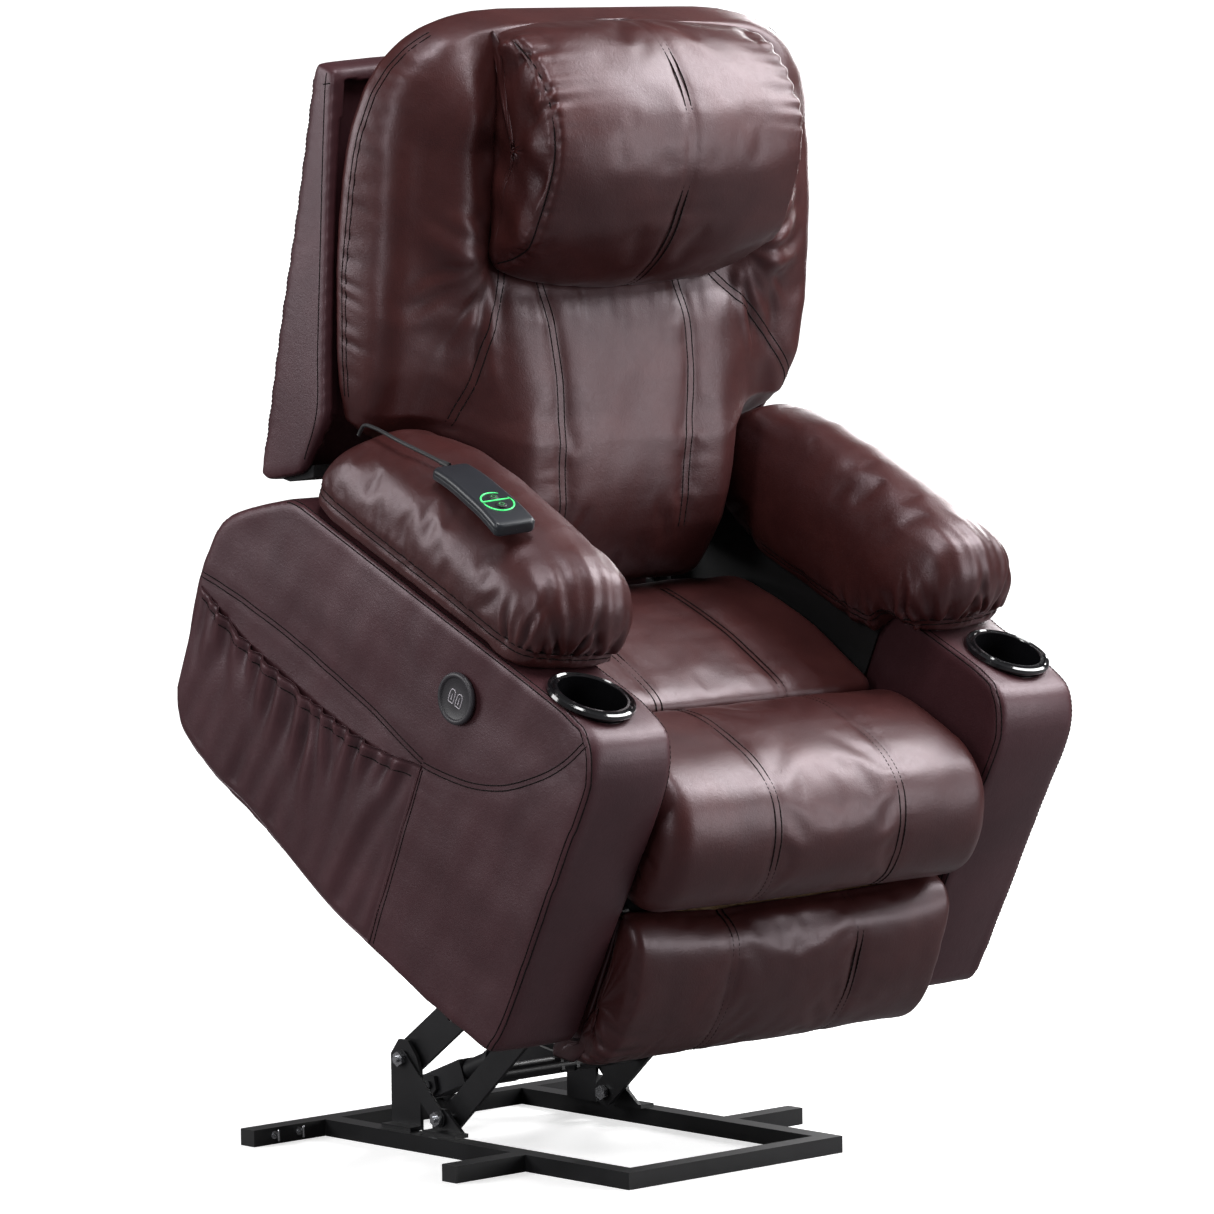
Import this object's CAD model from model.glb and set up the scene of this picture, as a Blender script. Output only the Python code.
"""Powered armchair with a raising footrest: covers, thread and finishes over its CAD frame.

Soft pieces are shaped in the chair's own frame, in millimetres: x runs to the sitter's left,
y to the back and z up. to_row() tips that frame forward by TILT about x, sets it on the base
and turns it into metres.
"""

import math

import bmesh
import bpy
import numpy as np
from mathutils import Matrix, Vector, bvhtree

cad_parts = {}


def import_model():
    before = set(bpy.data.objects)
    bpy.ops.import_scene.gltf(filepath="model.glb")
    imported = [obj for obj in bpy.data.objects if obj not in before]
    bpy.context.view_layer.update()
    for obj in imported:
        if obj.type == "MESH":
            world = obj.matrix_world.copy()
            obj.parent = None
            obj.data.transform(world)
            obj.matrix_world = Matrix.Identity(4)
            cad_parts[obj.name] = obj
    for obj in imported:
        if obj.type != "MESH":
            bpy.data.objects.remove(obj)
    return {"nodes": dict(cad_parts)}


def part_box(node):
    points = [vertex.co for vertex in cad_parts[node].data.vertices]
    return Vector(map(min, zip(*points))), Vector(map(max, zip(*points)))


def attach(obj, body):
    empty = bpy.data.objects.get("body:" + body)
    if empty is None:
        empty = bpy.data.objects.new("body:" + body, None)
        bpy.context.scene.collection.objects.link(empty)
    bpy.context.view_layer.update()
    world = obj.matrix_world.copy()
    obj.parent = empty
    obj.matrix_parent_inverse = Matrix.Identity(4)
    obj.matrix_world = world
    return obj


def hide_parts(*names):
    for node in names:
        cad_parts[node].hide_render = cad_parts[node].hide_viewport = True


cad_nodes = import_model()["nodes"]
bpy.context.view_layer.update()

base_low, base_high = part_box("base_frame")
BASE_Y = (base_low.y + base_high.y) / 2 * 1000.0
CHAIR_Y = -305.8 + BASE_Y       # origin of the chair's frame
CHAIR_Z = 187.8
TILT = math.radians(25)

SEAM_X = 103                    # the two seams that run over the seat and footrest
SHELL_HALF = 373                # half width of the back shell
CAMERA_AZIMUTH = math.radians(-42.33)


def to_row(points):
    """Chair millimetres to row metres."""
    x, y, z = np.asarray(points, float).T
    cos, sin = math.cos(TILT), math.sin(TILT)
    return np.stack([x, y * cos - z * sin + CHAIR_Y, y * sin + z * cos + CHAIR_Z], 1) / 1000.0


# ------------------------------------------------------------------ curves and waves
def lengths_along(path):
    return np.r_[0, np.cumsum(np.linalg.norm(np.diff(path, axis=0), axis=1))]


def sample(values, lengths, wanted):
    """Rows of values, known at lengths, read at the wanted lengths."""
    return np.stack([np.interp(wanted, lengths, column) for column in values.T], 1)


def spline(points, count, closed=False):
    """Catmull-Rom curve through the points, resampled evenly to count points."""
    p = np.asarray(points, float)
    if closed:
        p = np.vstack([p[-1], p, p[0], p[1]])
    else:
        p = np.vstack([2 * p[0] - p[1], p, 2 * p[-1] - p[-2]])
    curve = []
    for a, b, c, d in zip(p, p[1:], p[2:], p[3:]):
        for t in np.linspace(0, 1, 17)[:-1]:
            curve.append(0.5 * (2 * b + (c - a) * t + (2 * a - 5 * b + 4 * c - d) * t * t
                                + (3 * b - a - 3 * c + d) * t ** 3))
    curve.append(p[-2])
    curve = np.array(curve)
    lengths = lengths_along(curve)
    if closed:
        wanted = np.linspace(0, lengths[-1], count + 1)[:-1]
    else:
        wanted = np.linspace(0, lengths[-1], count)
    return sample(curve, lengths, wanted)


def smoothstep(value, low, high):
    t = np.clip((np.asarray(value, float) - low) / (high - low), 0, 1)
    return t * t * (3 - 2 * t)


def bell(value):
    return np.exp(-value ** 2)


def wobble(cycles, seed):
    """Smooth repeatable wave in about -1..1; cycles counts wavelengths."""
    random = np.random.RandomState(seed)
    wave = total = 0
    for _ in range(6):
        frequency = 0.55 + 1.35 * random.rand()
        height = 0.5 + random.rand()
        wave = wave + height * np.sin(2 * math.pi * frequency * cycles + 6.283 * random.rand())
        total += height
    return wave / total * 1.7


def wobble3(points, seed, span):
    """Smooth repeatable wave in space, about span mm long."""
    random = np.random.RandomState(seed)
    count = 10
    wave = 0
    for _ in range(count):
        direction = random.normal(size=3)
        direction /= np.linalg.norm(direction)
        frequency = (0.6 + 0.9 * random.rand()) / span
        wave = wave + np.sin(2 * math.pi * frequency * (points @ direction)
                             + 6.283 * random.rand())
    return wave / math.sqrt(count) * 0.9


def line_at(x, profile):
    """A y-z profile placed at x."""
    return np.c_[np.full(len(profile), x), profile]


def mirrored(points):
    points = np.array(points, float)
    points[:, 0] *= -1
    return points


def unit(vectors):
    return vectors / (np.linalg.norm(vectors, axis=1)[:, None] + 1e-9)


def round_corners(points, radii, steps):
    """Closed outline with each corner replaced by a short Bezier curve."""
    points = np.asarray(points, float)
    radii = np.broadcast_to(radii, len(points))
    outline = []
    for i, corner in enumerate(points):
        ends = []
        for other in (points[i - 1], points[(i + 1) % len(points)]):
            length = np.linalg.norm(other - corner)
            ends.append(corner + (other - corner) / length * min(radii[i], 0.45 * length))
        for t in np.arange(steps + 1) / steps:
            outline.append((1 - t) ** 2 * ends[0] + 2 * t * (1 - t) * corner + t * t * ends[1])
    return np.array(outline)


# ------------------------------------------------------------------ meshes
def add_object(name, verts, faces, smooth=False):
    mesh = bpy.data.meshes.new(name)
    mesh.from_pydata(verts, [], faces)
    mesh.update()
    if smooth:
        mesh.polygons.foreach_set("use_smooth", [True] * len(mesh.polygons))
    obj = bpy.data.objects.new(name, mesh)
    bpy.context.scene.collection.objects.link(obj)
    return obj


class Piece:
    """A mesh in chair millimetres. Reassign verts to have the search tree rebuilt."""

    def __init__(self, name, verts, faces):
        self.name = name
        self.verts = np.asarray(verts, float)
        self.faces = faces
        self._tree = self._tree_verts = None

    def tree(self):
        if self._tree_verts is not self.verts:
            self._tree_verts = self.verts
            self._tree = bvhtree.BVHTree.FromPolygons(self.verts.tolist(), self.faces)
        return self._tree

    def normals(self):
        mesh = bpy.data.meshes.new("normals")
        mesh.from_pydata(self.verts.tolist(), [], self.faces)
        mesh.update()
        normals = np.zeros(len(self.verts) * 3)
        mesh.vertices.foreach_get("normal", normals)
        bpy.data.meshes.remove(mesh)
        return normals.reshape(-1, 3)

    def push(self, height, normals=None):
        """Move every vertex along its normal."""
        if normals is None:
            normals = self.normals()
        self.verts = self.verts + normals * height[:, None]


def mirror_piece(piece, name):
    return Piece(name, mirrored(piece.verts), [tuple(reversed(face)) for face in piece.faces])


def tube_faces(rings, sides, start=0, flip=False):
    """Quads round a row of rings, then one face on each end."""
    faces = []
    for i in range(rings - 1):
        near, far = start + i * sides, start + (i + 1) * sides
        for j in range(sides):
            k = (j + 1) % sides
            if flip:
                faces.append((near + j, near + k, far + k, far + j))
            else:
                faces.append((near + j, far + j, far + k, near + k))
    last = start + (rings - 1) * sides
    faces.append(tuple(range(start, start + sides))[::-1])
    faces.append(tuple(range(last, last + sides)))
    return faces


def loft(name, rings, cap=4):
    """Closed rings joined in order; both ends are closed by cap shrinking rings."""
    rings = np.asarray(rings, float)
    scales = [0.02] + [1 - k / cap for k in range(cap - 1, 0, -1)]
    first, last = rings[0], rings[-1]
    low, high = first.mean(0), last.mean(0)
    start = [low + (first - low) * scale for scale in scales]
    end = [high + (last - high) * scale for scale in reversed(scales)]
    rings = np.concatenate([np.array(start), rings, np.array(end)])
    verts = rings.reshape(-1, 3)
    faces = tube_faces(rings.shape[0], rings.shape[1])
    # the signed volume tells whether the faces point outward
    a, b, c, d = verts[np.array(faces[:-2])].transpose(1, 0, 2)
    if np.sum(a * (np.cross(b, c) + np.cross(c, d))) < 0:
        faces = [tuple(reversed(face)) for face in faces]
    return Piece(name, verts, faces)


EDGE_STEPS = 7                  # rings in each rounded end of a sweep


def sweep_x(name, section, half_width, edge_radius, spacing, count, shape=None):
    """Closed y-z section swept along x, rounded by shrinking near the ends.

    shape(section, x) may bend each section in place.
    """
    outline = spline(section, count, closed=True)
    tangent = np.roll(outline, -1, 0) - np.roll(outline, 1, 0)
    tangent /= np.linalg.norm(tangent, axis=1)[:, None]
    outward = np.stack([tangent[:, 1], -tangent[:, 0]], 1)
    y, z = outline.T
    if np.sum(y * np.roll(z, -1) - np.roll(y, -1) * z) < 0:
        outward = -outward
    turns = [math.pi / 2 * i / EDGE_STEPS for i in range(EDGE_STEPS)]
    ends = [(half_width - edge_radius * (1 - math.cos(a)), edge_radius * (1 - math.sin(a)))
            for a in turns]
    flat = half_width - edge_radius
    stations = [(-x, inset) for x, inset in ends]
    stations += [(x, 0.0) for x in np.linspace(-flat, flat, int(2 * flat / spacing) + 1)]
    stations += reversed(ends)
    rings = []
    for x, inset in stations:
        ring = outline - outward * inset
        if shape:
            shape(ring, x)
        rings.append(line_at(x, ring))
    return loft(name, rings)


def prism(name, outline, x0, x1, bevel, segments=1):
    """Closed prism of a y-z outline between x0 and x1, its end edges bevelled."""
    bm = bmesh.new()
    near = [bm.verts.new((x0, y, z)) for y, z in outline]
    far = [bm.verts.new((x1, y, z)) for y, z in outline]
    ends = (bm.faces.new(near), bm.faces.new(far[::-1]))
    for i in range(len(outline)):
        k = (i + 1) % len(outline)
        bm.faces.new((near[k], near[i], far[i], far[k]))
    bmesh.ops.recalc_face_normals(bm, faces=bm.faces)
    if bevel:
        edges = [edge for edge in bm.edges if any(end in edge.link_faces for end in ends)]
        bmesh.ops.bevel(bm, geom=edges, offset=bevel, segments=segments, profile=0.6,
                        affect="EDGES", clamp_overlap=True)
    bmesh.ops.triangulate(bm, faces=bm.faces)
    bm.verts.index_update()
    verts = np.array([v.co[:] for v in bm.verts])
    faces = [tuple(v.index for v in face.verts) for face in bm.faces]
    bm.free()
    return Piece(name, verts, faces)


def tube(name, path, radius, sides):
    """Round tube on a path; radius is one number or one per point."""
    path = np.asarray(path, float)
    tangent = unit(np.gradient(path, axis=0))
    side = unit(np.cross(tangent, np.array([0, 0, 1.0])))
    up = np.cross(side, tangent)
    angle = (2 * math.pi * np.arange(sides) / sides)[None, :, None]
    radius = np.broadcast_to(np.asarray(radius, float), (len(path),))
    spokes = side[:, None, :] * np.cos(angle) + up[:, None, :] * np.sin(angle)
    verts = path[:, None, :] + spokes * radius[:, None, None]
    return Piece(name, verts.reshape(-1, 3), tube_faces(len(path), sides))


def lathe(name, profile, sides):
    """Disc turned about z from (radius, z) pairs."""
    angle = 2 * math.pi * np.arange(sides) / sides
    rings = [np.c_[r * np.cos(angle), r * np.sin(angle), np.full(sides, z)] for r, z in profile]
    return loft(name, rings, cap=3)


def merge(name, pieces):
    faces = []
    start = 0
    for piece in pieces:
        faces += [tuple(i + start for i in face) for face in piece.faces]
        start += len(piece.verts)
    return Piece(name, np.vstack([piece.verts for piece in pieces]), faces)


# ------------------------------------------------------------------ modifiers and cloth
def set_all(target, **values):
    for key, value in values.items():
        setattr(target, key, value)


def bake(obj):
    """The object's evaluated vertices and faces; the object is removed."""
    graph = bpy.context.evaluated_depsgraph_get()
    mesh = bpy.data.meshes.new_from_object(obj.evaluated_get(graph))
    verts = np.zeros(len(mesh.vertices) * 3)
    mesh.vertices.foreach_get("co", verts)
    faces = [tuple(polygon.vertices) for polygon in mesh.polygons]
    bpy.data.objects.remove(obj)
    bpy.data.meshes.remove(mesh)
    return verts.reshape(-1, 3), faces


def modified(piece, *modifiers):
    """The piece after a stack of (kind, settings) modifiers."""
    obj = add_object("work", piece.verts.tolist(), piece.faces)
    for kind, settings in modifiers:
        set_all(obj.modifiers.new(kind, kind), **settings)
    bpy.context.view_layer.update()
    return Piece(piece.name, *bake(obj))


def subdivide(piece):
    return modified(piece, ("SUBSURF", dict(levels=1)))


def remesh(piece, voxel, passes):
    return modified(piece,
                    ("REMESH", dict(mode="VOXEL", voxel_size=voxel, adaptivity=0)),
                    ("SMOOTH", dict(factor=0.5, iterations=passes)))


def cut(piece, cutter):
    tool = add_object("cutter", cutter.verts.tolist(), cutter.faces)
    settings = dict(operation="DIFFERENCE", solver="EXACT", object=tool)
    result = modified(piece, ("BOOLEAN", settings))
    bpy.data.objects.remove(tool)
    return result


CLOTH_FRAMES = 20


def puff(piece, pin, pressure, limit, shrink):
    """Inflate the closed piece as cloth; pin is 0..1 per vertex, limit the travel in mm."""
    scene = bpy.context.scene
    obj = add_object("cloth", (piece.verts / 1000.0).tolist(), piece.faces)
    group = obj.vertex_groups.new(name="pin")
    weights = np.round(pin, 2)
    for weight in np.unique(weights):
        if weight > 0:
            group.add(np.nonzero(weights == weight)[0].tolist(), float(weight), "REPLACE")
    cloth = obj.modifiers.new("cloth", "CLOTH")
    set_all(cloth.settings, quality=3, mass=0.25,
            tension_stiffness=15.0, compression_stiffness=15.0,
            shear_stiffness=5, bending_stiffness=6.0, air_damping=1.5,
            vertex_group_mass="pin", pin_stiffness=1.0,
            use_pressure=True, uniform_pressure_force=pressure, shrink_min=-shrink)
    cloth.settings.effector_weights.gravity = 0
    cloth.collision_settings.use_collision = False
    set_all(cloth.point_cache, frame_start=1, frame_end=CLOTH_FRAMES)
    set_all(scene, frame_start=1, frame_end=CLOTH_FRAMES)
    for number in range(1, CLOTH_FRAMES + 1):
        scene.frame_set(number)
    verts, _ = bake(obj)
    scene.frame_set(1)
    travel = verts * 1000.0 - piece.verts
    length = np.linalg.norm(travel, axis=1) + 1e-9
    eased = limit * np.tanh(length / limit) / length
    return Piece(piece.name, piece.verts + travel * eased[:, None], piece.faces)


# ------------------------------------------------------------------ seams, folds, stitches
def along(verts, line):
    """Distance from a polyline, and arc length along it, for every vertex."""
    line = np.asarray(line, float)
    if len(line) > 70:
        line = line[np.linspace(0, len(line) - 1, 70).astype(int)]
    steps = line[1:] - line[:-1]
    sizes = np.linalg.norm(steps, axis=1)
    starts = np.r_[0, np.cumsum(sizes)]
    best = np.full(len(verts), 1e18)
    arc = np.zeros(len(verts))
    for origin, step, size, start in zip(line, steps, sizes, starts):
        gap = verts - origin
        t = np.clip((gap @ step) / (size ** 2 + 1e-12), 0, 1)
        gap = gap - t[:, None] * step
        squared = np.einsum("ij,ij->i", gap, gap)
        nearer = squared < best
        best[nearer] = squared[nearer]
        arc[nearer] = start + t[nearer] * size
    return np.sqrt(best), arc


def nearest(tree, points):
    found = [tree.find_nearest(Vector(point)) for point in points]
    return np.array([hit[0][:] for hit in found]), np.array([hit[1][:] for hit in found])


def on_surface(piece, line, step=4):
    """Polyline resampled by step and dropped on the piece: points and normals."""
    size = np.linalg.norm(np.diff(np.asarray(line, float), axis=0), axis=1).sum()
    return nearest(piece.tree(), spline(line, max(4, int(size / step))))


def press_seam(piece, path, depth, pucker, seed, width=11.0, reach=13.0, span=19.0,
               band=0.8, ripple=0.0):
    """A soft valley with a flat raised band in it, puckers of wavelength span that fade
    over reach, and a longer ripple beside them."""
    distance, arc = along(piece.verts, path)
    height = -depth * bell(distance / width) + band * np.exp(-(distance / 4.2) ** 4)
    patches = 0.3 + 0.7 * smoothstep(wobble(arc / (span * 4.5), seed + 3), -0.4, 0.7)
    fade = np.exp(-distance / reach) * smoothstep(distance, 3.5, 9)
    waves = wobble(arc / span, seed) * 0.8 + wobble(arc / (span * 0.5), seed + 7) * 0.4
    height = height + pucker * patches * fade * waves
    height = height + (ripple * np.exp(-distance / 38.0) * smoothstep(distance, 4, 16)
                       * wobble(arc / (span * 2.4), seed + 11))
    piece.push(height)


def sew_seam(piece, line, **shape):
    """Drop a line on the piece, press a seam there and return the dropped path."""
    path, _ = on_surface(piece, line)
    press_seam(piece, path, **shape)
    return path


def gather(piece, path, start, end, spacing, reach, width, depth, seed, mask, fan=0.35):
    """Narrow folds that leave a seam at uneven places, slants and lengths."""
    distance, arc = along(piece.verts, path)
    random = np.random.RandomState(seed)
    height = np.zeros(len(piece.verts))
    place = start + spacing * random.rand()
    while place < end:
        length = reach * random.uniform(0.55, 1.35)
        narrow = width * random.uniform(0.75, 1.3)
        deep = depth * random.uniform(0.5, 1.2)
        slant = fan * random.uniform(-1, 1)
        x = (arc - place - slant * distance
             - 2.0 * np.sin(distance / 11.0 + 6 * random.rand()))
        w = narrow * (1 + 0.6 * distance / length)
        fade = bell(distance / length) * smoothstep(distance, 1.5, 6)
        height += fade * deep * (-bell(x / w) + 0.62 * bell((x - 1.9 * w) / w)
                                 + 0.4 * bell((x + 1.8 * w) / w))
        place += spacing * random.uniform(0.55, 1.6)
    piece.push(height * mask)


STITCH_LENGTH = 4.4
STITCH_GAP = 1.5
STITCH_RADIUS = 0.5
STITCH_SIDES = 5
# place along the stitch, radius factor, lift off the surface
STITCH_RINGS = [(0.0, 0.4, 0.0), (0.2, 1.0, 0.3), (0.8, 1.0, 0.3), (1.0, 0.4, 0.0)]
STRIP_HALF = 0.78               # the flat strip under the stitches
STRIP_TOP = 0.16
STRIP_BOTTOM = 0.7
threads = {}                    # body: (vertices, faces)


def smooth_rows(passes, *arrays):
    for rows in arrays:
        for _ in range(passes):
            rows[1:-1] = (rows[:-2] + rows[1:-1] * 2 + rows[2:]) / 4


def sideways(path, normals):
    return unit(np.cross(normals, unit(np.gradient(path, axis=0))))


def stitch(piece, line, body, offsets=(-4.7, 4.7)):
    """Dark strips with rounded thread dashes on them, laid at offsets beside the line."""
    tree = piece.tree()
    path, normals = on_surface(piece, line, step=2.0)
    smooth_rows(3, path, normals)
    side = sideways(path, normals)
    verts, faces = threads.setdefault(body, ([], []))
    for offset in offsets:
        row, up = nearest(tree, path + side * offset)
        smooth_rows(2, row, up)
        half = sideways(row, up) * STRIP_HALF
        strip = np.stack([row + half + up * STRIP_TOP, row - half + up * STRIP_TOP,
                          row - half - up * STRIP_BOTTOM, row + half - up * STRIP_BOTTOM], 1)
        faces += tube_faces(len(row), 4, start=len(verts), flip=True)
        verts += strip.reshape(-1, 3).tolist()

        lengths = lengths_along(row)
        begins = np.arange(1.0, lengths[-1] - STITCH_LENGTH, STITCH_LENGTH + STITCH_GAP)
        head = sample(row, lengths, begins)
        run = sample(row, lengths, begins + STITCH_LENGTH) - head
        rise = unit(sample(up, lengths, begins + STITCH_LENGTH / 2))
        across = unit(np.cross(rise, run))
        angle = (2 * math.pi * np.arange(STITCH_SIDES) / STITCH_SIDES)[None, :, None]
        spokes = across[:, None, :] * np.cos(angle) + rise[:, None, :] * np.sin(angle)
        rings = []
        for place, factor, lift in STITCH_RINGS:
            centre = head + run * place + rise * lift
            rings.append(centre[:, None, :] + spokes * STITCH_RADIUS * factor)
        size = len(STITCH_RINGS) * STITCH_SIDES
        for i in range(len(begins)):
            faces += tube_faces(len(STITCH_RINGS), STITCH_SIDES,
                                start=len(verts) + i * size, flip=True)
        verts += np.stack(rings, 1).reshape(-1, 3).tolist()


# ------------------------------------------------------------------ materials
class Shader:
    """A Principled material whose textures read object coordinates."""

    def __init__(self, name):
        self.material = bpy.data.materials.new(name)
        self.material.use_nodes = True
        self.tree = self.material.node_tree
        self.tree.nodes.clear()
        output = self.add("OutputMaterial")
        self.surface = self.add("BsdfPrincipled")
        self.feed(output, {0: self.surface.outputs[0]})
        self.coords = self.add("TexCoord").outputs["Object"]

    def feed(self, node, inputs):
        """Link sockets and set plain values."""
        for key, value in inputs.items():
            if isinstance(value, bpy.types.NodeSocket):
                self.tree.links.new(value, node.inputs[key])
            else:
                node.inputs[key].default_value = value

    def add(self, kind, inputs=None, **settings):
        node = self.tree.nodes.new("ShaderNode" + kind)
        set_all(node, **settings)
        self.feed(node, inputs or {})
        return node

    def set_surface(self, inputs):
        self.feed(self.surface, inputs)

    def noise(self, **inputs):
        return self.add("TexNoise", {"Vector": self.coords, **inputs}).outputs["Fac"]

    def stretched(self, scale):
        mapping = self.add("Mapping", {"Scale": scale, "Vector": self.coords})
        return mapping.outputs[0]

    def ramp(self, value, stops):
        """Colours from (position, rgb) stops."""
        node = self.add("ValToRGB", {0: value})
        elements = node.color_ramp.elements
        while len(elements) < len(stops):
            elements.new(0.5)
        for element, (position, colour) in zip(elements, stops):
            element.position = position
            element.color = (*colour, 1)
        return node.outputs[0]

    def shade_by_pointiness(self, colour, stops):
        pointiness = self.add("NewGeometry").outputs["Pointiness"]
        shade = self.ramp(pointiness, stops)
        mix = self.add("MixRGB", {0: 1.0, 1: colour, 2: shade}, blend_type="MULTIPLY")
        self.set_surface({"Base Color": mix.outputs[0]})

    def vary_roughness(self, value, low, high):
        spread = self.add("MapRange", {"To Min": low, "To Max": high, "Value": value})
        self.set_surface({"Roughness": spread.outputs[0]})

    def bump(self, height, strength, distance):
        inputs = {"Strength": strength, "Distance": distance, "Height": height}
        self.set_surface({"Normal": self.add("Bump", inputs).outputs[0]})


def leather(name, dark, middle, light, rough, coat):
    shader = Shader(name)
    clouds = shader.noise(Scale=9.0, Detail=6.0, Roughness=0.62, Distortion=0.4)
    colour = shader.ramp(clouds, [(0.34, dark), (0.5, middle), (0.66, light)])
    shader.shade_by_pointiness(colour, [(0.45, (0.5, 0.46, 0.48)), (0.5, (1, 1, 1)),
                                        (0.56, (1.3, 1.22, 1.2))])
    # pebble grain and fine creases in one height field
    pebbles = shader.add("TexVoronoi", {"Scale": 560.0, "Vector": shader.coords}, feature="F1")
    fine = shader.noise(Scale=120.0, Detail=5.0, Roughness=0.65, Distortion=1.2)
    creases = shader.add("Math", {0: fine, 1: 1.5}, operation="MULTIPLY")
    height = shader.add("Math", {0: pebbles.outputs["Distance"], 1: 0.5, 2: creases.outputs[0]},
                        operation="MULTIPLY_ADD")
    shader.bump(height.outputs[0], strength=0.5, distance=0.00035)
    shader.vary_roughness(fine, low=rough - 0.07, high=rough + 0.14)
    shader.set_surface({
        "IOR": 1.5,
        "Specular IOR Level": 0.5,
        "Specular Tint": (1.0, 0.84, 0.93, 1),
        "Coat Weight": coat,
        "Coat Roughness": 0.3,
        "Coat Tint": (1.0, 0.9, 0.95, 1),
    })
    return shader.material


def plain(name, colour, rough=0.4, metallic=0.0, variation=0.12, bump=0.00006, scale=300.0,
          coat=0.0, specular=0.5, streak=None):
    """One colour, slightly mottled, with fine noise in roughness and bump."""
    shader = Shader(name)
    vector = shader.stretched(streak) if streak else shader.coords
    fine = shader.noise(Vector=vector, Scale=scale, Detail=5.0, Roughness=0.6)
    clouds = shader.noise(Scale=14.0, Detail=4.0)
    colour = np.array(colour)
    mottled = shader.ramp(clouds, [(0.35, tuple(colour * (1 - variation))),
                                   (0.65, tuple(np.clip(colour * (1 + variation), 0, 1)))])
    shader.shade_by_pointiness(mottled, [(0.46, (0.8, 0.8, 0.8)), (0.5, (1, 1, 1)),
                                         (0.6, (1.35, 1.35, 1.35))])
    shader.vary_roughness(fine, low=max(0.02, rough - 0.06), high=rough + 0.08)
    shader.bump(fine, strength=0.5, distance=bump)
    shader.set_surface({
        "Metallic": metallic,
        "Coat Weight": coat,
        "Coat Roughness": 0.08,
        "Specular IOR Level": specular,
    })
    return shader.material


def timber():
    shader = Shader("frame_timber")
    grain = shader.noise(Vector=shader.stretched((6, 1.2, 6)), Scale=9.0, Detail=6.0,
                         Distortion=2.2)
    colour = shader.ramp(grain, [(0.3, (0.34, 0.2, 0.1)), (0.5, (0.52, 0.34, 0.18)),
                                 (0.7, (0.62, 0.44, 0.26))])
    shader.set_surface({"Base Color": colour, "Roughness": 0.62})
    shader.bump(grain, strength=0.4, distance=0.0003)
    return shader.material


def woven_cloth():
    shader = Shader("black_cloth")
    yarns = []
    for axis in ("X", "Z"):
        inputs = {"Scale": 420.0, "Distortion": 0.4, "Vector": shader.coords}
        yarns.append(shader.add("TexWave", inputs, bands_direction=axis).outputs["Fac"])
    weave = shader.add("Math", {0: yarns[0], 1: yarns[1]}, operation="MAXIMUM").outputs[0]
    colour = shader.ramp(weave, [(0.2, (0.004, 0.004, 0.004)), (0.9, (0.018, 0.018, 0.02))])
    shader.set_surface({"Base Color": colour, "Roughness": 0.9})
    shader.bump(weave, strength=0.6, distance=0.0003)
    return shader.material


def green_glow():
    shader = Shader("green_glow")
    clouds = shader.noise(Scale=220.0, Detail=2.0)
    colour = shader.ramp(clouds, [(0.3, (0.03, 0.55, 0.12)), (0.7, (0.10, 0.85, 0.25))])
    shader.set_surface({"Base Color": colour, "Emission Color": colour,
                        "Emission Strength": 0.9, "Roughness": 0.3})
    return shader.material


def floor_paper():
    """Pale and self-lit to the camera, dark to the light bouncing off it."""
    shader = Shader("floor_paper")
    clouds = shader.noise(Scale=3.0)
    pale = shader.ramp(clouds, [(0.3, (0.86, 0.86, 0.86)), (0.7, (0.90, 0.90, 0.90))])
    seen = shader.add("LightPath").outputs["Is Camera Ray"]
    colour = shader.add("MixRGB", {0: seen, 1: (0.16, 0.155, 0.16, 1), 2: pale},
                        blend_type="MIX")
    glow = shader.add("Math", {0: seen, 1: 0.62}, operation="MULTIPLY")
    shader.set_surface({
        "Base Color": colour.outputs[0],
        "Roughness": 0.85,
        "Specular IOR Level": 0.1,
        "Emission Color": (1, 1, 1, 1),
        "Emission Strength": glow.outputs[0],
    })
    return shader.material


HIDE = leather("burgundy_leather", dark=(0.037, 0.0088, 0.0082), middle=(0.046, 0.0114, 0.0104),
               light=(0.058, 0.0154, 0.0138), rough=0.36, coat=0.12)
PANEL = leather("burgundy_panel_leather", dark=(0.041, 0.0128, 0.0155),
                middle=(0.049, 0.0160, 0.0192), light=(0.058, 0.0200, 0.0238),
                rough=0.40, coat=0.07)
THREAD = plain("seam_thread", (0.0045, 0.0020, 0.0022), rough=0.85, variation=0.3, specular=0.2)
STEEL = plain("frame_black_steel", (0.012, 0.012, 0.013), rough=0.34, bump=0.00012,
              scale=420.0, variation=0.2)
BLACK_PLASTIC = plain("black_plastic", (0.016, 0.016, 0.017), rough=0.5, bump=0.00012,
                      scale=600.0)
ZINC = plain("zinc_hardware", (0.55, 0.56, 0.58), rough=0.25, metallic=1.0)
SPRING = plain("spring_steel", (0.32, 0.32, 0.34), rough=0.35, metallic=1.0)
ACTUATOR_PLASTIC = plain("actuator_plastic", (0.014, 0.014, 0.016), rough=0.42, bump=0.0001,
                         scale=500.0)
ACTUATOR_STEEL = plain("actuator_steel", (0.5, 0.5, 0.52), rough=0.2, metallic=1.0,
                       streak=(1, 40, 40))
CUP = plain("cup_gloss", (0.006, 0.006, 0.007), rough=0.09, variation=0.2, coat=0.8,
            bump=0.00001)
PORT = plain("port_plastic", (0.028, 0.025, 0.030), rough=0.45, bump=0.00008, scale=700.0)
PORT_MARK = plain("port_mark", (0.46, 0.43, 0.47))
HANDSET = plain("handset_plastic", (0.017, 0.019, 0.024), rough=0.36, bump=0.00005, scale=900.0)
KEY = plain("handset_key", (0.015, 0.016, 0.018), rough=0.45)
CABLE = plain("cable_rubber", (0.018, 0.018, 0.02), rough=0.5)
TIMBER = timber()
CLOTH = woven_cloth()
GLOW = green_glow()
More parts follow.
